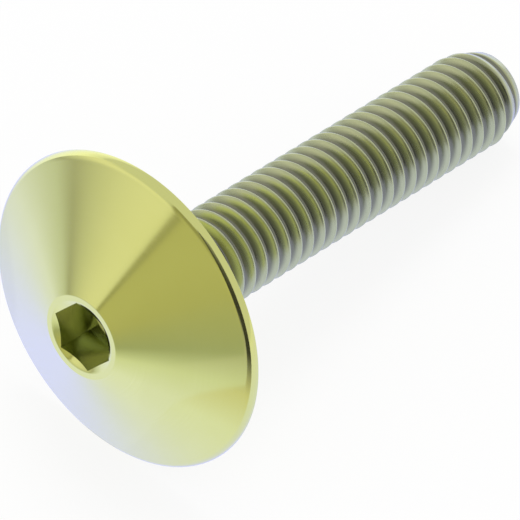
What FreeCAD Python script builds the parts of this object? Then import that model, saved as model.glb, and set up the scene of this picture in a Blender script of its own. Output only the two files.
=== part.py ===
# Dome head bolt, turned from one bar: a wide cone head with a rounded rim and
# a flat lip, a countersunk hexagon socket, a plain neck and a threaded shank.
# The thread is drawn as a cylinder over its crests. The bolt lies on its side,
# on the rim of its head and the far end of its thread.
import FreeCAD, Part
import math
import os

from FreeCAD import Placement, Rotation, Vector

# Head, in mm, with its height above the flat underside
HEAD_DIAMETER = 15.76
HEAD_HEIGHT = 3.2
RIM_LAND = 0.025
RIM_ROUND = 0.52
LIP_DIAMETER = 4.2

# Hexagon socket, with a corner SOCKET_TURN degrees from the upper side, and its
# countersunk mouth, MOUTH_MARGIN beyond the hexagon's corners all round
SOCKET_ACROSS_FLATS = 3.0
SOCKET_DEPTH = 2.4
SOCKET_TURN = 37.5
DRILL_POINT_ANGLE = 118.0
MOUTH_ANGLE = 120.0
MOUTH_MARGIN = 0.07

# Shank, with its lengths from the underside of the head
LENGTH = 25.2
THREAD_DIAMETER = 4.75
NECK_DIAMETER = 4.3
NECK_LENGTH = 4.4
NECK_FILLET = 0.25
TIP_DIAMETER = 3.73
TIP_LENGTH = 0.88

AXIS = Vector(0, 0, 1)


def half_angle_rise(radius, full_angle):
    """Height of a cone of this radius and full angle."""
    return radius / math.tan(math.radians(full_angle / 2))


def arc_points(centre, radius, start, end):
    """Middle and end of an arc about centre, by angles from the X axis."""
    found = []
    for angle in ((start + end) / 2, end):
        found.append((centre[0] + radius * math.cos(angle), centre[1] + radius * math.sin(angle)))
    return found


def crown_slope():
    """Slope of the cone that runs from the lip and touches the rounded rim."""
    run = HEAD_DIAMETER / 2 - RIM_ROUND - LIP_DIAMETER / 2
    rise = HEAD_HEIGHT - RIM_LAND
    return math.atan2(rise, run) - math.asin(RIM_ROUND / math.hypot(rise, run))


def outline():
    """Half section of the bolt as steps: (x, z) for a line, two points for an arc."""
    rim = HEAD_DIAMETER / 2
    neck = NECK_DIAMETER / 2
    thread = THREAD_DIAMETER / 2
    rim_centre = (rim - RIM_ROUND, -RIM_LAND)
    fillet_centre = (neck + NECK_FILLET, NECK_FILLET)
    return [
        (0, -HEAD_HEIGHT),
        (LIP_DIAMETER / 2, -HEAD_HEIGHT),
        (rim_centre[0] + RIM_ROUND * math.sin(crown_slope()),
         rim_centre[1] - RIM_ROUND * math.cos(crown_slope())),
        arc_points(rim_centre, RIM_ROUND, crown_slope() - math.pi / 2, 0),
        (rim, 0),
        (fillet_centre[0], 0),
        arc_points(fillet_centre, NECK_FILLET, -math.pi / 2, -math.pi),
        (neck, NECK_LENGTH),
        (thread, NECK_LENGTH + thread - neck),
        (thread, LENGTH - TIP_LENGTH),
        (TIP_DIAMETER / 2, LENGTH),
        (0, LENGTH),
    ]


def turned(steps):
    """Solid of revolution round the bolt's axis of an outline in the XZ plane."""
    here = Vector(steps[0][0], 0, steps[0][1])
    first = here
    edges = []
    for step in steps[1:]:
        if isinstance(step, list):
            middle, end = [Vector(x, 0, z) for x, z in step]
            edges.append(Part.Arc(here, middle, end).toShape())
        else:
            end = Vector(step[0], 0, step[1])
            edges.append(Part.makeLine(here, end))
        here = end
    edges.append(Part.makeLine(here, first))
    return Part.Face(Part.Wire(edges)).revolve(Vector(0, 0, 0), AXIS, 360)


def socket():
    """What the hexagon key fills: prism, drilled bottom and countersunk mouth."""
    corner = SOCKET_ACROSS_FLATS / math.sqrt(3)
    points = []
    for step in range(7):
        angle = math.radians(SOCKET_TURN + 60 * step)
        points.append(Vector(corner * math.cos(angle), corner * math.sin(angle), -HEAD_HEIGHT))
    prism = Part.Face(Part.makePolygon(points)).extrude(AXIS * SOCKET_DEPTH)
    drill = SOCKET_ACROSS_FLATS / 2
    floor = SOCKET_DEPTH - HEAD_HEIGHT
    bottom = turned([
        (0, floor - SOCKET_DEPTH / 2),
        (drill, floor - SOCKET_DEPTH / 2),
        (drill, floor),
        (0, floor + half_angle_rise(drill, DRILL_POINT_ANGLE)),
    ])
    mouth = corner + MOUTH_MARGIN
    countersink = turned([
        (0, -HEAD_HEIGHT),
        (mouth, -HEAD_HEIGHT),
        (0, half_angle_rise(mouth, MOUTH_ANGLE) - HEAD_HEIGHT),
    ])
    return prism.fuse([bottom, countersink])


def rest_tilt():
    """Angle of the axis below level, with rim and thread on the floor."""
    drop = (HEAD_DIAMETER - THREAD_DIAMETER) / 2
    return math.atan2(drop, LENGTH - TIP_LENGTH)


def laid_down(bolt):
    """Put the bolt on its side, head towards minus X, centred over the origin."""
    tilt = rest_tilt()
    back = HEAD_HEIGHT * math.cos(tilt) + LIP_DIAMETER / 2 * math.sin(tilt)
    front = LENGTH * math.cos(tilt) + TIP_DIAMETER / 2 * math.sin(tilt)
    spot = Vector((back - front) / 2, 0, HEAD_DIAMETER / 2 * math.cos(tilt))
    tip_forward = Rotation(Vector(0, 1, 0), 90 + math.degrees(tilt))
    upper_side = Rotation(AXIS, 180)
    bolt.Placement = Placement(spot, tip_forward.multiply(upper_side))
    return bolt


def main():
    """Build the bolt and write it as one solid."""
    bolt = laid_down(turned(outline()).cut(socket()))
    os.makedirs("parts", exist_ok=True)
    bolt.exportStep("parts/bolt.step")
    print("solids", len(bolt.Solids), "volume", round(bolt.Volume, 1))


main()
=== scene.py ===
"""A dome head bolt in gold-green anodised titanium, lying on its side in a white studio.

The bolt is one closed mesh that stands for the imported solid: its head and socket are
turned ring by ring, and its thread is a Geometry Nodes tree. Sizes are in millimetres
in the classes, along the bolt's own axis, and everything in Blender is in metres.
"""

import logging
import math
from collections.abc import Iterable
from dataclasses import dataclass, field
from enum import Enum
from functools import partial
from typing import Any

import bmesh
import bpy
from mathutils import Matrix, Vector


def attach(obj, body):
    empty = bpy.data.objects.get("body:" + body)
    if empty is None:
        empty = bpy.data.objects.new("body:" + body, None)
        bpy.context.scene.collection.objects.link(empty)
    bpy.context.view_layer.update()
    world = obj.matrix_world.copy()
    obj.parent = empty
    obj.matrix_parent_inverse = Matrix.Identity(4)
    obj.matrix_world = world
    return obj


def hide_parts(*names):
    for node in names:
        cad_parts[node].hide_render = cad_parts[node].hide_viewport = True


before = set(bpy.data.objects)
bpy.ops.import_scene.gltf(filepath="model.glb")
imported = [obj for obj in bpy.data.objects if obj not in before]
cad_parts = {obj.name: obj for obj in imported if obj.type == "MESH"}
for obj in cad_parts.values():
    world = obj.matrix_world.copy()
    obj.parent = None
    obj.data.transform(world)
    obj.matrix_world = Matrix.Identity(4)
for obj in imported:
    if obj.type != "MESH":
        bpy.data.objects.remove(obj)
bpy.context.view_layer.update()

MM = 0.001
NODE = "bolt"

# Faces round the axis, faces across a rounded edge, and the width of a ring
COLUMNS = 144
ROUND_STEPS = 10
RING_WIDTH = 0.44
# How far a guard point may lie from a rounding: at most, and as a share of the rounding
# and of the flat beside it
GUARD_REACH = 0.05
GUARD_OF_ROUND = 0.35
GUARD_OF_FLAT = 0.4
# The bend that stays sharp, in radians, and the gap that is merged, in metres
SHARP_BEND = 0.45
MERGE = 2e-4 * MM

Point = tuple[float, float]
Ring = list[Point]

log = logging.getLogger("dome_head_bolt")


class Surface(Enum):
    """The ways that the bolt's surface was made, in the order of its material slots."""

    TURNED = 0
    ROLLED = 1
    COUNTERSUNK = 2
    BROACHED = 3


# Helpers


def linear(code: str, strength: float = 1.0) -> tuple[float, float, float, float]:
    """Turn an sRGB hex colour into linear light.

    Args:
        code: The colour, such as "#CBCB76".
        strength: What the result is multiplied by.

    Returns:
        Red, green, blue and an alpha of 1.
    """
    found = []
    for start in (1, 3, 5):
        value = int(code[start : start + 2], 16) / 255
        value = value / 12.92 if value <= 0.04045 else ((value + 0.055) / 1.055) ** 2.4
        found.append(value * strength)
    return (found[0], found[1], found[2], 1.0)


def add_node(
    tree: bpy.types.NodeTree, kind: str, feeds: dict[int | str, Any], **settings: Any
) -> bpy.types.Node:
    """Add a node with its settings, its values and its links.

    Args:
        tree: The node tree to add it to.
        kind: The node's bl_idname.
        feeds: For each input, by name or number, an output to link or a value to set.
        **settings: The node's own properties.

    Returns:
        The new node.
    """
    node = tree.nodes.new(kind)
    for name, value in settings.items():
        setattr(node, name, value)
    for name, value in feeds.items():
        if isinstance(value, bpy.types.NodeSocket):
            tree.links.new(value, node.inputs[name])
        else:
            node.inputs[name].default_value = value
    return node


def maths(tree: bpy.types.NodeTree, operation: str, *values: Any) -> bpy.types.NodeSocket:
    """Output of a Math node on values, each an output or a number."""
    feeds = dict(enumerate(values))
    return add_node(tree, "ShaderNodeMath", feeds, operation=operation).outputs[0]


def vector_maths(tree: bpy.types.NodeTree, operation: str, *values: Any) -> bpy.types.Node:
    """Vector Math node on values, each an output or a vector."""
    feeds = dict(enumerate(values))
    return add_node(tree, "ShaderNodeVectorMath", feeds, operation=operation)


def mixed(tree: bpy.types.NodeTree, share: Any, low: Any, high: Any) -> bpy.types.NodeSocket:
    """Colour between two others, each an output or a colour, by their share."""
    feeds = {0: share, 6: low, 7: high}
    return add_node(tree, "ShaderNodeMix", feeds, data_type="RGBA").outputs[2]


def blank_material(name: str) -> bpy.types.Material:
    """New material with an empty node tree."""
    made = bpy.data.materials.new(name)
    made.use_nodes = True
    made.node_tree.nodes.clear()
    return made


def mesh_from(work: bmesh.types.BMesh, name: str) -> bpy.types.Mesh:
    """Turn an edited mesh into a new named one, and free it."""
    mesh = bpy.data.meshes.new(name)
    work.to_mesh(mesh)
    work.free()
    return mesh


def add_object(name: str, data: bpy.types.ID) -> bpy.types.Object:
    """Put an object with this mesh, lamp or camera into the scene."""
    made = bpy.data.objects.new(name, data)
    bpy.context.scene.collection.objects.link(made)
    return made


def rounded(corners: list[tuple[float, float, float]]) -> list[Point]:
    """Round the corners of an outline.

    Args:
        corners: Radius and height of each corner, and the rounding there, 0 for none.

    Returns:
        The outline's points, with one guard point close to each side of a rounding, so
        that the shading of a long flat isn't pulled round by it.
    """
    points: list[Point] = []
    for number, (r, z, radius) in enumerate(corners):
        here = Vector((r, z))
        if not radius:
            points.append((r, z))
            continue
        before = Vector(corners[number - 1][:2]) - here
        after = Vector(corners[number + 1][:2]) - here
        bend = before.angle(after)
        reach = radius / math.tan(bend / 2)
        first, last = before.normalized(), after.normalized()
        centre = here + (first + last).normalized() * (radius / math.sin(bend / 2))
        room = min(GUARD_OF_ROUND * radius, GUARD_REACH)
        guards = [
            min(room, GUARD_OF_FLAT * (side.length - reach)) for side in (before, after)
        ]
        points.append(tuple(here + first * (reach + guards[0])))
        start, end = here + first * reach - centre, here + last * reach - centre
        angle = math.atan2(start.y, start.x)
        sweep = (math.atan2(end.y, end.x) - angle + math.pi) % (2 * math.pi) - math.pi
        for step in range(ROUND_STEPS + 1):
            turn = angle + sweep * step / ROUND_STEPS
            points.append(tuple(centre + Vector((math.cos(turn), math.sin(turn))) * radius))
        points.append(tuple(here + last * (reach + guards[1])))
    return points


def spaced(start: Point, end: Point, shares: Iterable[float]) -> list[Point]:
    """Points on a straight run, at the given shares of its length."""
    a, b = Vector(start), Vector(end)
    return [tuple(a.lerp(b, share)) for share in shares]


def shell(rings: list[Ring], surfaces: list[Surface], name: str) -> bpy.types.Mesh:
    """Join rings round the bolt's axis into a skin, closed by a pole at its last ring.

    Args:
        rings: Radius and height of each column of each ring; the last is the pole.
        surfaces: How the faces that end at each ring after the first were made.
        name: Name of the new mesh.

    Returns:
        The mesh, in metres, in the bolt's own frame.
    """
    work = bmesh.new()
    rows = []
    for ring in rings[:-1]:
        row = []
        for column, (r, z) in enumerate(ring):
            angle = 2 * math.pi * column / COLUMNS
            spot = (r * math.cos(angle) * MM, r * math.sin(angle) * MM, z * MM)
            row.append(work.verts.new(spot))
        rows.append(row)
    pole = work.verts.new((0, 0, rings[-1][0][1] * MM))
    for column in range(COLUMNS):
        beside = (column + 1) % COLUMNS
        for number in range(len(rows) - 1):
            low, high = rows[number], rows[number + 1]
            face = work.faces.new((low[column], high[column], high[beside], low[beside]))
            face.material_index = surfaces[number].value
        face = work.faces.new((rows[-1][column], pole, rows[-1][beside]))
        face.material_index = surfaces[-1].value
    return mesh_from(work, name)


# Finishes


@dataclass(frozen=True)
class AnodisedTitanium:
    """Grade 5 titanium under a thin clear oxide film, as one way of machining leaves it.

    The film has no dye: its thickness takes blue out of what it mirrors, which is the
    gold-green seen square on, and lets it back in at a slant, where the metal goes
    pale lavender. A cutting tool's marks stretch each highlight across themselves.

    Attributes:
        name: The finish, and how its surface was made.
        colour: What the film gives square on.
        pale: The same film where it is a little thinner or burnished.
        edge: Tint of the metal's mirror at a slant.
        groove: Painted shade at the bottom of the thread's grooves, a darker colour, if there are
            any.
        groove_shade_radii: Radii between which that colour ends, in millimetres.
        taper_depths: Depths under the tip's taper between which it ends too.
        roughness: Lowest and highest roughness.
        stretch: How much the tool marks stretch a highlight, from 0 to 1.
        mark: Spacing of the tool marks, in millimetres.
        depth: Height of the tool marks, in millimetres.
        cloud: Size of the film's faint blotches, in millimetres.
        tones: Strengths of marks and blotches that give the two ends of the finish.
        film: Weight of the film's own clear gloss.
        film_roughness: Roughness of that gloss.
        film_index: Refractive index of that gloss.
        haze: Weight of the film's haze at a slant.
        haze_roughness: How wide that haze spreads.
        haze_tint: Lavender of that haze.
    """

    name: str
    colour: str = "#D0D362"
    pale: str = "#D4D76C"
    edge: str = "#F0F0FF"
    groove: str = ""
    groove_shade_radii: Point = (2.0, 2.29)
    taper_depths: Point = (0.07, 0.01)
    roughness: Point = (0.08, 0.12)
    stretch: float = 0.4
    mark: float = 0.04
    depth: float = 0.00003
    cloud: float = 2.1
    tones: Point = (0.1, 0.45)
    film: float = 1.0
    film_roughness: float = 0.12
    film_index: float = 2.2
    haze: float = 0.62
    haze_roughness: float = 0.35
    haze_tint: str = "#8C94FF"

    def material(self, lie: "Lie") -> bpy.types.Material:
        """Make the material.

        Args:
            lie: How the bolt lies, for marks that run round its axis.

        Returns:
            The material, which reads Object coordinates.
        """
        made = blank_material(self.name)
        tree = made.node_tree
        axis = tuple(lie.axis)
        place = add_node(tree, "ShaderNodeTexCoord", {}).outputs["Object"]
        arm = vector_maths(tree, "SUBTRACT", place, tuple(lie.spot * MM)).outputs[0]
        along = vector_maths(tree, "DOT_PRODUCT", arm, axis).outputs["Value"]
        round_axis = vector_maths(tree, "CROSS_PRODUCT", axis, arm).outputs[0]
        radius = vector_maths(tree, "LENGTH", round_axis).outputs["Value"]
        marks = add_node(
            tree,
            "ShaderNodeTexNoise",
            {"W": maths(tree, "SUBTRACT", along, radius), "Scale": 1 / (self.mark * MM),
             "Detail": 3.0, "Roughness": 0.6},
            noise_dimensions="1D",
        ).outputs["Fac"]
        cloud = add_node(
            tree,
            "ShaderNodeTexNoise",
            {"Vector": place, "Scale": 1 / (self.cloud * MM), "Detail": 4.0},
        ).outputs["Fac"]
        blotch = maths(tree, "MULTIPLY", marks, cloud)
        tone, gloss = [
            add_node(
                tree,
                "ShaderNodeMapRange",
                {"Value": blotch, "From Min": self.tones[0], "From Max": self.tones[1],
                 "To Min": low, "To Max": high},
            ).outputs[0]
            for low, high in ((0.0, 1.0), self.roughness)
        ]
        shown = mixed(tree, tone, linear(self.colour), linear(self.pale))
        # Painted shade: the groove colour darkens the thread towards the bottom of its grooves
        if self.groove:
            clear_of_groove_shade = self.clear_of_groove_shade(tree, lie.shank, along, radius)
            shown = mixed(tree, clear_of_groove_shade, linear(self.groove), shown)
        relief = add_node(
            tree, "ShaderNodeBump", {"Height": marks, "Strength": 1.0, "Distance": self.depth * MM}
        )
        metal = add_node(
            tree,
            "ShaderNodeBsdfPrincipled",
            {"Base Color": shown, "Metallic": 1.0, "Roughness": gloss,
             "Specular Tint": linear(self.edge), "Anisotropic": self.stretch,
             "Tangent": round_axis, "Normal": relief.outputs[0],
             "Coat Weight": self.film, "Coat Roughness": self.film_roughness,
             "Coat IOR": self.film_index, "Sheen Weight": self.haze,
             "Sheen Roughness": self.haze_roughness, "Sheen Tint": linear(self.haze_tint)},
        )
        add_node(tree, "ShaderNodeOutputMaterial", {"Surface": metal.outputs[0]})
        return made

    def clear_of_groove_shade(
        self,
        tree: bpy.types.NodeTree,
        shank: "ThreadedShank",
        along: bpy.types.NodeSocket,
        radius: bpy.types.NodeSocket,
    ) -> bpy.types.NodeSocket:
        """Tell how far a spot of the thread is out of the painted shade in its grooves.

        Args:
            tree: The material's node tree.
            shank: The shank with the thread and its taper.
            along: The spot's distance from the head, along the axis.
            radius: The spot's distance from the axis.

        Returns:
            From 0 in a groove, in full painted shade, to 1 on a crest or on the skin of the tip's
            taper, with no painted shade.
        """
        slope = shank.taper_slope
        skin = shank.tip_diameter / 2 + shank.length * slope
        reach = maths(tree, "MULTIPLY_ADD", along, slope, radius)
        taper = [skin - depth for depth in self.taper_depths]
        found = [
            add_node(
                tree,
                "ShaderNodeMapRange",
                {"Value": source, "From Min": low * MM, "From Max": high * MM},
                interpolation_type="SMOOTHSTEP",
            ).outputs[0]
            for source, (low, high) in ((radius, self.groove_shade_radii), (reach, taper))
        ]
        return maths(tree, "MAXIMUM", *found)


@dataclass(frozen=True)
class StudioCloth:
    """Lit or dark cloth beside the bolt, which only its mirror finish sees.

    Attributes:
        name: What the cloth is.
        levels: Angle above the horizon in degrees, brightness there with 1 for white,
            and its colour, from the lowest up.
    """

    name: str
    levels: tuple[tuple[float, float, str], ...]

    def material(self, eye: float) -> bpy.types.Material:
        """Make the material: light of its own, by the height at which the bolt sees it.

        Args:
            eye: Height from which the angles are measured, in metres.

        Returns:
            The material.
        """
        made = blank_material(self.name)
        tree = made.node_tree
        place = add_node(tree, "ShaderNodeTexCoord", {}).outputs["Object"]
        ray = vector_maths(tree, "SUBTRACT", place, (0.0, 0.0, eye)).outputs[0]
        way = vector_maths(tree, "NORMALIZE", ray).outputs[0]
        split = add_node(tree, "ShaderNodeSeparateXYZ", {0: way})
        height = add_node(
            tree, "ShaderNodeMapRange", {"Value": split.outputs["Z"], "From Min": -1.0}
        )
        ramp = add_node(tree, "ShaderNodeValToRGB", {0: height.outputs[0]})
        # A new ramp has two stops already
        stops = ramp.color_ramp.elements
        for number, (angle, level, colour) in enumerate(self.levels):
            where = (1 + math.sin(math.radians(angle))) / 2
            stop = stops[number] if number < 2 else stops.new(where)
            stop.position = where
            stop.color = linear(colour, level)
        glow = add_node(tree, "ShaderNodeEmission", {"Color": ramp.outputs[0]})
        add_node(tree, "ShaderNodeOutputMaterial", {"Surface": glow.outputs[0]})
        return made


@dataclass(frozen=True)
class WhitePaper:
    """Matt white background paper: it shows as white, with the bolt's shadow on it.

    Attributes:
        name: What the floor is.
        colour: The paper's own colour.
        share: Part of what the camera and a mirror see that is plain white.
    """

    name: str = "matt_white_background_paper"
    colour: str = "#FBFBFB"
    share: float = 0.86

    def material(self) -> bpy.types.Material:
        """Make the material: lit paper, with plain white for camera and mirror rays."""
        made = blank_material(self.name)
        tree = made.node_tree
        path = add_node(tree, "ShaderNodeLightPath", {}).outputs
        mirror = maths(tree, "MAXIMUM", path["Is Glossy Ray"], path["Is Transmission Ray"])
        seen = maths(tree, "MAXIMUM", path["Is Camera Ray"], mirror)
        part = maths(tree, "MULTIPLY", seen, self.share)
        paper = add_node(tree, "ShaderNodeBsdfDiffuse", {"Color": linear(self.colour)})
        white = add_node(tree, "ShaderNodeEmission", {"Strength": 1.0})
        mix = add_node(
            tree,
            "ShaderNodeMixShader",
            {0: part, 1: paper.outputs[0], 2: white.outputs[0]},
        )
        add_node(tree, "ShaderNodeOutputMaterial", {"Surface": mix.outputs[0]})
        return made


# The bolt


@dataclass
class HexagonSocket:
    """Broached hexagon with a drilled bottom and a countersunk mouth.

    Attributes:
        across_flats: Size of the hexagon key.
        depth: From the lip to the bottom of the flats.
        turn: Angle of one corner from the upper side, in degrees.
        mouth: Diameter of the countersink at the lip.
        mouth_angle: Full angle of the countersink, in degrees.
        brim: How far the lip's worn inner edge falls before the countersink.
        point: Full angle of the drilled bottom, in degrees.
        drill_gap: How far the drilled bottom's edge stays inside the flats.
    """

    across_flats: float = 3.0
    depth: float = 2.4
    turn: float = 37.5
    mouth: float = 3.6
    mouth_angle: float = 126.0
    brim: float = 0.012
    point: float = 118.0
    drill_gap: float = 0.02

    def reach(self, column: int) -> float:
        """Distance of the hexagon's wall from the axis, at one column."""
        # Counted from the middle of the flat that the column lies on
        angle = (360 * column / COLUMNS - self.turn) % 60 - 30
        return self.across_flats / 2 / math.cos(math.radians(angle))

    def rings(self, top: float) -> tuple[list[Ring], list[Surface]]:
        """Rings from the mouth's edge to the pole at the bottom of the drilled hole.

        Args:
            top: Height of the lip that the mouth opens in.

        Returns:
            The rings, and how the faces that end at each ring were made.
        """
        mouth = self.mouth / 2
        walls = [self.reach(column) for column in range(COLUMNS)]
        fall = math.tan(math.radians(self.mouth_angle / 2))
        start = top + self.brim
        edges = [start + (mouth - wall) / fall for wall in walls]
        floor = top + self.depth
        drill = self.across_flats / 2 - self.drill_gap
        tip = floor + drill / math.tan(math.radians(self.point / 2))
        # Three rings down the mouth, five down the flats, and the drilled bottom
        rings: list[Ring] = []
        for share in (0.35, 0.7, 1.0):
            rings.append(
                [tuple(Vector((mouth, start)).lerp(Vector((wall, edge)), share))
                 for wall, edge in zip(walls, edges)]
            )
        surfaces = [Surface.COUNTERSUNK] * len(rings)
        for share in (0.05, 0.3, 0.6, 0.9, 1.0):
            rings.append(
                [(wall, edge + (floor - edge) * share) for wall, edge in zip(walls, edges)]
            )
        for r, z in spaced((drill, floor), (0.0, tip), (0.0, 0.1, 0.4, 0.7, 0.9, 1.0)):
            rings.append([(r, z)] * COLUMNS)
        surfaces += [Surface.BROACHED] * (len(rings) - len(surfaces))
        return rings, surfaces


@dataclass
class ConeHead:
    """Wide low cone with a rounded rim and a flat lip round its socket.

    Attributes:
        diameter: Across the rim.
        height: From the underside to the lip.
        rim_round: Radius of the rim's rounded upper edge.
        rim_land: Height of the rim's straight edge.
        lip_diameter: Across the flat lip.
        lip_round: Radius where the cone meets the lip.
        under_round: Radius of the underside's edge.
        wear: Width and rounding of the lip's worn inner edge.
        socket: The hexagon socket in the lip.
    """

    diameter: float = 15.76
    height: float = 3.2
    rim_round: float = 0.52
    rim_land: float = 0.025
    lip_diameter: float = 4.2
    lip_round: float = 0.1
    under_round: float = 0.012
    wear: Point = (0.045, 0.3)
    socket: HexagonSocket = field(default_factory=HexagonSocket)

    def slope(self) -> float:
        """Slope of the cone, which runs from the lip and touches the rounded rim."""
        run = (self.diameter - self.lip_diameter) / 2 - self.rim_round
        rise = self.height - self.rim_land
        return math.atan2(rise, run) - math.asin(self.rim_round / math.hypot(rise, run))

    def outline(self, neck: float, fillet: float, start: float) -> list[Point]:
        """Points from the neck over the underside, rim and cone to the mouth's edge.

        Args:
            neck: Radius of the plain neck.
            fillet: Radius of the fillet under the head.
            start: Height on the neck at which the outline begins.

        Returns:
            Radius and height of each ring.
        """
        rim, lip, mouth = self.diameter / 2, self.lip_diameter / 2, self.socket.mouth / 2
        shoulder = -self.height + (rim - lip) * math.tan(self.slope())
        corners = rounded(
            [
                (neck, start, 0),
                (neck, 0, fillet),
                (rim, 0, self.under_round),
                (rim, shoulder, self.rim_round),
                (lip, -self.height, self.lip_round),
                (mouth + self.wear[0], -self.height, self.wear[1]),
                (mouth, self.socket.brim - self.height, 0),
            ]
        )
        points: list[Point] = []
        for before, after in zip(corners, corners[1:]):
            pieces = max(1, round(math.dist(before, after) / RING_WIDTH))
            points += spaced(before, after, [n / pieces for n in range(pieces)])
        return points + [corners[-1]]

    def build(self, neck: float, fillet: float, start: float) -> bpy.types.Mesh:
        """Build the head with its socket, open where the neck goes on.

        Args:
            neck: Radius of the plain neck.
            fillet: Radius of the fillet under the head.
            start: Height on the neck of the open end.

        Returns:
            The head's mesh, in the bolt's own frame.
        """
        outline = self.outline(neck, fillet, start)
        rings = [[point] * COLUMNS for point in outline]
        surfaces = [Surface.TURNED] * (len(rings) - 1)
        below, made_by = self.socket.rings(-self.height)
        return shell(rings + below, surfaces + made_by, "head")


@dataclass
class ThreadedShank:
    """Shank with a plain neck, a rolled M5 x 0.8 thread and a tapered tip.

    Attributes:
        length: From the underside of the head to the tip.
        neck_diameter: Of the plain neck.
        fillet: Radius of the fillet under the head.
        start: Height at which the skin of the thread begins.
        run_in: Heights between which the thread grows to its full depth.
        crest_diameter: Over the crests.
        root_diameter: In the grooves.
        pitch: From crest to crest.
        crest_flat: Width of a crest's flat top.
        flank_angle: Between the two sides of a groove, in degrees.
        crest_round: Rounding of a crest's edges.
        root_round: Rounding of a groove's bottom.
        first_crest: Height of a crest on the upper side.
        tip_diameter: Of the flat end.
        tip_length: Of the solid's taper, which says how the bolt lies.
        thread_taper: Length over which the thread itself thins towards the flat end.
        taper_round: Rounding where the thread meets its taper.
        end_rings: Radii of the rings inside the flat end's edge.
        steps: Rows of faces for each pitch.
        crowding: How closely the rows crowd where the form bends, from 0 to 1.
    """

    length: float = 25.2
    neck_diameter: float = 4.3
    fillet: float = 0.25
    start: float = 4.0
    run_in: Point = (4.28, 4.88)
    crest_diameter: float = 4.75
    root_diameter: float = 3.87
    pitch: float = 0.8
    crest_flat: float = 0.08
    flank_angle: float = 60.0
    crest_round: float = 0.032
    root_round: float = 0.08
    first_crest: float = 5.029
    tip_diameter: float = 3.73
    tip_length: float = 0.88
    thread_taper: float = 1.4
    taper_round: float = 0.04
    end_rings: tuple[float, ...] = (1.835, 1.3, 0.65)
    steps: int = 16
    crowding: float = 0.6

    @property
    def taper_slope(self) -> float:
        """How much the thread's radius falls along its taper."""
        return (self.crest_diameter - self.tip_diameter) / 2 / self.thread_taper

    def tree(self) -> tuple[bpy.types.NodeTree, dict[str, str]]:
        """Make the Geometry Nodes tree that winds the thread.

        A flat grid is rolled up with its rows along the thread: a row keeps its place in
        the thread's form all the way round, and rises by one pitch. What would pass the
        two ends is drawn back onto them, and merged.

        Returns:
            The tree, and its input identifiers by name.
        """
        tree = bpy.data.node_groups.new("rolled_thread", "GeometryNodeTree")
        kinds = dict.fromkeys(("Columns", "Rows", "Turns"), "NodeSocketInt")
        kinds |= dict.fromkeys(
            ("Pitch", "Bottom", "Start", "End", "Run In From", "Run In To", "Neck Radius",
             "Crest Radius", "Root Radius", "Crest Flat", "Crest Round", "Root Round",
             "Tip Radius", "Tip Slope", "Tip Round", "Crowding"),
            "NodeSocketFloat",
        )
        kinds["Material"] = "NodeSocketMaterial"
        names = {}
        tree.interface.new_socket("Geometry", in_out="INPUT", socket_type="NodeSocketGeometry")
        for name, kind in kinds.items():
            made = tree.interface.new_socket(name, in_out="INPUT", socket_type=kind)
            names[name] = made.identifier
        tree.interface.new_socket("Geometry", in_out="OUTPUT", socket_type="NodeSocketGeometry")
        given = add_node(tree, "NodeGroupInput", {}).outputs
        math_node = partial(maths, tree)
        grid = add_node(
            tree,
            "GeometryNodeMeshGrid",
            {"Size X": 1.0, "Size Y": 1.0,
             "Vertices X": math_node("ADD", given["Columns"], 1.0),
             "Vertices Y": math_node("ADD", given["Rows"], 1.0)},
        )
        spot = add_node(
            tree,
            "ShaderNodeSeparateXYZ",
            {0: add_node(tree, "GeometryNodeInputPosition", {}).outputs[0]},
        )
        turn = math_node("ADD", spot.outputs["X"], 0.5)
        row = math_node("MULTIPLY", math_node("ADD", spot.outputs["Y"], 0.5), given["Turns"])

        # Rows crowd towards crests and grooves, where the form bends
        wave = math_node("SINE", math_node("MULTIPLY", row, 4 * math.pi))
        pull = math_node("MULTIPLY", given["Crowding"], 1 / (4 * math.pi))
        place = math_node("SUBTRACT", row, math_node("MULTIPLY", wave, pull))

        # Height of each point, kept between the two ends
        rise = math_node("MULTIPLY", given["Pitch"], math_node("ADD", place, turn))
        free = math_node("ADD", given["Bottom"], rise)
        height = math_node("MAXIMUM", math_node("MINIMUM", free, given["End"]), given["Start"])

        # Form of the thread: straight flanks between a flat crest and a round groove
        offset = math_node("MULTIPLY", math_node("PINGPONG", place, 0.5), given["Pitch"])
        inside = math_node("SUBTRACT", math_node("MULTIPLY", given["Crest Flat"], 0.5), offset)
        steepness = 1 / math.tan(math.radians(self.flank_angle / 2))
        flank = math_node("MULTIPLY_ADD", inside, steepness, given["Crest Radius"])
        topped = math_node("SMOOTH_MIN", flank, given["Crest Radius"], given["Crest Round"])
        form = math_node("SMOOTH_MAX", topped, given["Root Radius"], given["Root Round"])
        grown = add_node(
            tree,
            "ShaderNodeMapRange",
            {"Value": height, "From Min": given["Run In From"], "From Max": given["Run In To"],
             "To Min": given["Neck Radius"], "To Max": form},
            interpolation_type="SMOOTHSTEP",
        )
        left = math_node("SUBTRACT", given["End"], height)
        taper = math_node("MULTIPLY_ADD", left, given["Tip Slope"], given["Tip Radius"])
        radius = math_node("SMOOTH_MIN", grown.outputs[0], taper, given["Tip Round"])

        angle = math_node("MULTIPLY", turn, 2 * math.pi)
        moved = add_node(
            tree,
            "ShaderNodeCombineXYZ",
            {"X": math_node("MULTIPLY", radius, math_node("COSINE", angle)),
             "Y": math_node("MULTIPLY", radius, math_node("SINE", angle)), "Z": height},
        )
        rolled = add_node(
            tree,
            "GeometryNodeSetPosition",
            {"Geometry": grid.outputs["Mesh"], "Position": moved.outputs[0]},
        )
        merged = add_node(
            tree,
            "GeometryNodeMergeByDistance",
            {"Geometry": rolled.outputs[0], "Distance": MERGE},
        )
        smooth = add_node(
            tree, "GeometryNodeSetShadeSmooth", {"Geometry": merged.outputs[0]}
        )
        dressed = add_node(
            tree,
            "GeometryNodeSetMaterial",
            {"Geometry": smooth.outputs[0], "Material": given["Material"]},
        )
        add_node(tree, "NodeGroupOutput", {0: dressed.outputs[0]})
        return tree, names

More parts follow.
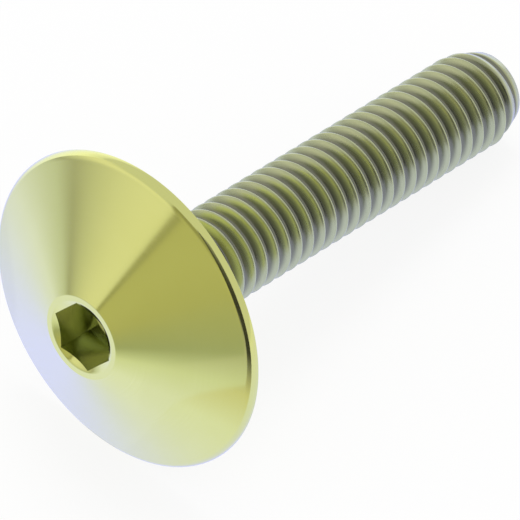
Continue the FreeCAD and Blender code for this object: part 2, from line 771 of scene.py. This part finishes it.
    def build(self, material: bpy.types.Material) -> bpy.types.Mesh:
        """Wind the thread.

        Args:
            material: What the tree sets on the thread.

        Returns:
            The thread's mesh, in the bolt's own frame, open at the neck and at the tip.
        """
        tree, names = self.tree()
        bottom = self.first_crest
        while bottom > self.start - self.pitch:
            bottom -= self.pitch
        turns = math.ceil((self.length - bottom) / self.pitch)
        values = {
            "Columns": COLUMNS,
            "Rows": self.steps * turns,
            "Turns": turns,
            "Pitch": self.pitch * MM,
            "Bottom": bottom * MM,
            "Start": self.start * MM,
            "End": self.length * MM,
            "Run In From": self.run_in[0] * MM,
            "Run In To": self.run_in[1] * MM,
            "Neck Radius": self.neck_diameter / 2 * MM,
            "Crest Radius": self.crest_diameter / 2 * MM,
            "Root Radius": self.root_diameter / 2 * MM,
            "Crest Flat": self.crest_flat * MM,
            "Crest Round": self.crest_round * MM,
            "Root Round": self.root_round * MM,
            "Tip Radius": self.tip_diameter / 2 * MM,
            "Tip Slope": self.taper_slope,
            "Tip Round": self.taper_round * MM,
            "Crowding": self.crowding,
            "Material": material,
        }
        holder = add_object("thread", bpy.data.meshes.new("thread"))
        modifier = holder.modifiers.new("thread", "NODES")
        modifier.node_group = tree
        for name, value in values.items():
            modifier[names[name]] = value
        graph = bpy.context.evaluated_depsgraph_get()
        mesh = bpy.data.meshes.new_from_object(holder.evaluated_get(graph))
        bpy.data.objects.remove(holder)
        return mesh

    def end(self) -> bpy.types.Mesh:
        """Build the flat end face, with its pole on the axis."""
        radii = (self.tip_diameter / 2, *self.end_rings, 0.0)
        rings = [[(r, self.length)] * COLUMNS for r in radii]
        return shell(rings, [Surface.TURNED] * (len(rings) - 1), "end")


@dataclass
class Lie:
    """How the bolt lies on the floor: on the rim of its head and the end of its thread.

    Attributes:
        head: The head, whose rim touches the floor.
        shank: The shank, whose last full crest touches the floor.
    """

    head: ConeHead
    shank: ThreadedShank

    @property
    def tilt(self) -> float:
        """Angle of the axis below level."""
        drop = (self.head.diameter - self.shank.crest_diameter) / 2
        return math.atan2(drop, self.shank.length - self.shank.tip_length)

    @property
    def axis(self) -> Vector:
        """Direction from the head to the tip."""
        return Vector((math.cos(self.tilt), 0, -math.sin(self.tilt)))

    @property
    def spot(self) -> Vector:
        """Centre of the head's underside, in millimetres."""
        sine, cosine = math.sin(self.tilt), math.cos(self.tilt)
        back = self.head.height * cosine + self.head.lip_diameter / 2 * sine
        front = self.shank.length * cosine + self.shank.tip_diameter / 2 * sine
        return Vector(((back - front) / 2, 0, self.head.diameter / 2 * cosine))

    @property
    def matrix(self) -> Matrix:
        """From the bolt's own frame to the part's, both in metres."""
        upper = Vector((math.sin(self.tilt), 0, math.cos(self.tilt)))
        turned = Matrix((upper, Vector((0, -1, 0)), self.axis)).transposed().to_4x4()
        return Matrix.Translation(self.spot * MM) @ turned


@dataclass
class Bolt:
    """The whole bolt, as one closed mesh.

    Attributes:
        head: Its head and socket.
        shank: Its neck, thread and tip.
        turned: Finish of the head and neck, cut on a lathe.
        rolled: Finish of the thread, pressed between dies.
        countersunk: Finish of the socket's mouth.
        broached: Finish of the socket's flats and drilled bottom.
    """

    head: ConeHead = field(default_factory=ConeHead)
    shank: ThreadedShank = field(default_factory=ThreadedShank)
    # A lathe's fine feed marks run round the head, so a light stretches up the cone
    turned: AnodisedTitanium = AnodisedTitanium("anodised_titanium_fine_turned")
    # Dies press the flanks satin; the darker colour down in the grooves is painted shade
    rolled: AnodisedTitanium = AnodisedTitanium(
        "anodised_titanium_rolled_thread", colour="#A9AF7C", pale="#B5BB8A",
        groove="#64664C", roughness=(0.25, 0.35), stretch=0.2, mark=0.05, film=0.65,
        film_roughness=0.25, haze=0.5,
    )
    # A countersink bit leaves the mouth bright, so it mirrors the cloths in sharp sectors
    countersunk: AnodisedTitanium = AnodisedTitanium(
        "anodised_titanium_countersunk_mouth", roughness=(0.09, 0.13), haze=0.0
    )
    # A broach scores the flats, which mirror only one another; their colour, darker than the
    # head's, is painted shade of the recess
    broached: AnodisedTitanium = AnodisedTitanium(
        "anodised_titanium_broached_socket_painted_shade", colour="#B2B86A", pale="#BCC274",
        roughness=(0.2, 0.28), stretch=0.0, mark=0.1, haze=0.0,
    )

    @property
    def lie(self) -> Lie:
        """How it lies."""
        return Lie(self.head, self.shank)

    def mesh(self, materials: list[bpy.types.Material]) -> bpy.types.Mesh:
        """Join head, thread and end into one closed skin in the part's frame.

        Args:
            materials: One for each kind of surface, in order.

        Returns:
            The bolt's mesh.
        """
        neck = self.shank.neck_diameter / 2
        head = self.head.build(neck, self.shank.fillet, self.shank.start)
        thread = self.shank.build(materials[Surface.ROLLED.value])
        work = bmesh.new()
        for part in (head, self.shank.end()):
            work.from_mesh(part)
        first = len(work.faces)
        work.from_mesh(thread)
        work.faces.ensure_lookup_table()
        for face in work.faces[first:]:
            face.material_index = Surface.ROLLED.value
        bmesh.ops.remove_doubles(work, verts=work.verts, dist=MERGE)
        bmesh.ops.recalc_face_normals(work, faces=work.faces)
        loose = [edge for edge in work.edges if len(edge.link_faces) != 2]
        log.info("open edges: %d", len(loose))
        for face in work.faces:
            face.smooth = True
        for edge in work.edges:
            kinds = {face.material_index for face in edge.link_faces}
            if Surface.ROLLED.value not in kinds and edge.calc_face_angle(0) > SHARP_BEND:
                edge.smooth = False
        mesh = mesh_from(work, "gold_green_bolt")
        for material in materials:
            mesh.materials.append(material)
        mesh.transform(self.lie.matrix)
        return mesh

    def build(self) -> bpy.types.Object:
        """Build and dress the bolt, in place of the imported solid."""
        lie = self.lie
        materials = [
            finish.material(lie)
            for finish in (self.turned, self.rolled, self.countersunk, self.broached)
        ]
        piece = add_object("gold_green_bolt", self.mesh(materials))
        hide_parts(NODE)
        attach(piece, "root")
        log.info("%s: %d faces", piece.name, len(piece.data.polygons))
        return piece


# The studio


@dataclass
class Studio:
    """White floor, lit cloths round it, and the camera.

    Attributes:
        floor_radius: In metres.
        floor_drop: How far the floor lies below the bolt, in metres.
        near: Where the cloths begin on the floor, in metres.
        far: Distance of the cloths' walls, in metres.
        hover: Height of the cloths over the floor, in metres.
        floor_rows: Rows of faces of a cloth along the floor.
        wall_rows: Rows of faces of a cloth up its wall, and from side to side.
        lamp_place: Where the soft lamp hangs, in metres.
        lamp_size: Its diameter, in metres.
        lamp_power: Its power, in watts.
        azimuth: Side that the camera stands on, in degrees, 0 looking along +Y.
        elevation: Height of the camera above the horizon, in degrees.
        distance: From the head's underside to the camera, in millimetres.
        aim: How far right of and above the head's underside the camera aims, in mm.
        lens: Focal length, in millimetres.
        clip: Nearest and farthest that the camera sees, in metres.
    """

    floor_radius: float = 2.4
    floor_drop: float = 0.00001
    near: float = 0.0002
    far: float = 1.6
    hover: float = 0.0004
    floor_rows: int = 12
    wall_rows: int = 24
    lamp_place: tuple[float, float, float] = (0.25, 0.3, 0.95)
    lamp_size: float = 0.5
    lamp_power: float = 2.6
    azimuth: float = 312.95
    elevation: float = 50.26
    distance: float = 435.312
    aim: Point = (5.9518, 2.1989)
    lens: float = 663.7
    clip: Point = (0.01, 20.0)

    def cloth(
        self, finish: StudioCloth, sides: Point, top: float, middle: Vector
    ) -> bpy.types.Object:
        """Lay a cloth on the floor and up a curved wall, out of the camera's sight.

        Args:
            finish: What it is and how bright it is.
            sides: Its two edges, as angles from +X towards +Y, in degrees.
            top: Its upper edge, as an angle above the horizon, in degrees.
            middle: Middle of the head, from which all angles are taken, in metres.

        Returns:
            The cloth.
        """
        profile = []
        for n in range(self.floor_rows + 1):
            share = (n / self.floor_rows) ** 3
            profile.append((self.near + (self.far - self.near) * share, self.hover))
        for n in range(1, self.wall_rows + 1):
            rise = math.radians(top * n / self.wall_rows)
            profile.append((self.far * math.cos(rise), self.far * math.sin(rise)))
        work = bmesh.new()
        rows = []
        for out, high in profile:
            row = []
            for i in range(self.wall_rows + 1):
                side = math.radians(sides[0] + (sides[1] - sides[0]) * i / self.wall_rows)
                row.append(work.verts.new((out * math.cos(side), out * math.sin(side), high)))
            rows.append(row)
        for low, high in zip(rows, rows[1:]):
            for i in range(self.wall_rows):
                work.faces.new((low[i], high[i], high[i + 1], low[i + 1]))
        mesh = mesh_from(work, finish.name)
        mesh.materials.append(finish.material(middle.z))
        cloth = add_object(finish.name, mesh)
        cloth.location = (middle.x, middle.y, 0.0)
        cloth.visible_camera = False
        cloth.visible_diffuse = False
        cloth.visible_shadow = False
        return cloth

    def cloths(self, middle: Vector) -> None:
        """Hang the cloths that the bolt mirrors.

        Args:
            middle: Middle of the head, in metres.
        """
        # The lowest levels are what the cone mirrors at a slant, so they are cool
        white, warm, cool = "#FFFFFF", "#FFFBCE", "#D8DCFD"
        lit = (
            (-60, 1.44, cool), (-27, 1.46, cool), (-16, 1.44, cool), (-4, 0.88, "#EAEFFF"),
            (0, 0.5, white), (6, 0.69, white), (15, 0.9, "#FFFDF8"), (20, 1.0, "#FFFCF6"),
            (30, 1.0, "#FFFCF6"), (40, 0.8, white),
        )
        gap = ((-45, 1.44, cool), (-28, 1.35, cool), (-6, 0.42, warm), (40, 0.38, warm))
        grey = (
            (-60, 1.44, cool), (-45, 1.46, cool), (-32, 1.46, cool), (-18, 1.02, "#EEF4FF"),
            (-8, 0.5, "#F8FFF0"), (7, 0.58, warm), (16, 0.62, warm), (27, 0.58, warm),
            (40, 0.4, warm),
        )
        edge = (
            (-60, 1.45, cool), (-32, 1.42, cool), (-18, 1.0, "#EEF4FF"), (-6, 0.55, white),
            (0, 0.45, white), (8, 0.2, white), (14, 0.06, white), (60, 0.06, white),
        )
        dark = (
            (-60, 1.42, cool), (-34, 1.36, "#DCE0F6"), (-20, 0.88, "#F8F4E4"), (-10, 0.3, white),
            (-4, 0.06, white), (25, 0.06, white), (45, 0.12, white), (60, 0.3, white),
        )
        floor = ((-60, 1.38, cool), (-20, 1.35, cool), (-5, 1.1, "#F0F0FF"), (0, 1.0, white))
        behind = (
            (-60, 1.38, cool), (-20, 1.38, cool), (-8, 1.45, "#EAEEFF"), (0, 1.45, "#F0F2FF"),
            (14, 1.3, white), (30, 1.0, white),
        )
        for name, levels, sides, top in (
            ("lit_softbox_cloth", lit, (100.0, 164.4), 60.0),
            ("dark_gap_beside_softbox", gap, (164.4, 167.6), 60.0),
            ("grey_side_cloth", grey, (167.6, 204.0), 60.0),
            ("dark_cloth_edge", edge, (204.0, 214.0), 64.0),
            ("dark_cloth_by_camera", dark, (214.0, 246.0), 64.0),
            ("cool_floor_cloth", floor, (246.0, 366.0), 3.0),
            ("white_cloth_behind_bolt", behind, (366.0, 460.0), 30.0),
        ):
            self.cloth(StudioCloth(name, levels), sides, top, middle)

    def floor(self) -> bpy.types.Object:
        """Lay the floor."""
        work = bmesh.new()
        bmesh.ops.create_circle(work, cap_ends=True, segments=96, radius=self.floor_radius)
        bmesh.ops.translate(work, verts=work.verts, vec=(0, 0, -self.floor_drop))
        mesh = mesh_from(work, "floor")
        mesh.materials.append(WhitePaper().material())
        floor = add_object("floor", mesh)
        return floor

    def world(self) -> None:
        """Light the room evenly, with the Background node's own light grey."""
        world = bpy.data.worlds.new("white_room")
        world.use_nodes = True
        tree = world.node_tree
        tree.nodes.clear()
        sky = add_node(tree, "ShaderNodeBackground", {"Strength": 1.0})
        add_node(tree, "ShaderNodeOutputWorld", {"Surface": sky.outputs[0]})
        bpy.context.scene.world = world

    def lamp(self) -> None:
        """Hang one soft lamp, which gives the bolt its faint shadow."""
        data = bpy.data.lights.new("soft_lamp", "AREA")
        data.shape = "DISK"
        data.size = self.lamp_size
        data.energy = self.lamp_power
        lamp = add_object("soft_lamp", data)
        lamp.location = self.lamp_place
        lamp.rotation_euler = (-lamp.location).to_track_quat("-Z", "Y").to_euler()
        lamp.visible_glossy = False

    def camera(self, lie: Lie) -> None:
        """Set the camera where the photograph was taken from.

        Args:
            lie: How the bolt lies.
        """
        side, high = math.radians(self.azimuth), math.radians(self.elevation)
        right = Vector((math.cos(side), math.sin(side), 0))
        back = Vector(
            (math.sin(side) * math.cos(high), -math.cos(side) * math.cos(high), math.sin(high))
        )
        up = back.cross(right)
        place = lie.spot + right * self.aim[0] + up * self.aim[1] + back * self.distance
        data = bpy.data.cameras.new("camera")
        data.lens = self.lens
        data.clip_start, data.clip_end = self.clip
        camera = add_object("camera", data)
        turned = Matrix((right, up, back)).transposed().to_4x4()
        camera.matrix_world = Matrix.Translation(place * MM) @ turned
        bpy.context.scene.camera = camera

    def build(self, lie: Lie) -> None:
        """Set up the whole studio.

        Args:
            lie: How the bolt lies.
        """
        self.floor()
        self.cloths(lie.spot * MM)
        self.world()
        self.lamp()
        self.camera(lie)
        bpy.context.scene.view_settings.view_transform = "Standard"
        log.info("studio: floor, cloths, lamp and camera")


def main() -> None:
    """Build the bolt and its studio."""
    logging.basicConfig(level=logging.INFO, format="%(name)s: %(message)s")
    bolt = Bolt()
    bolt.build()
    Studio().build(bolt.lie)


if __name__ == "__main__":
    main()
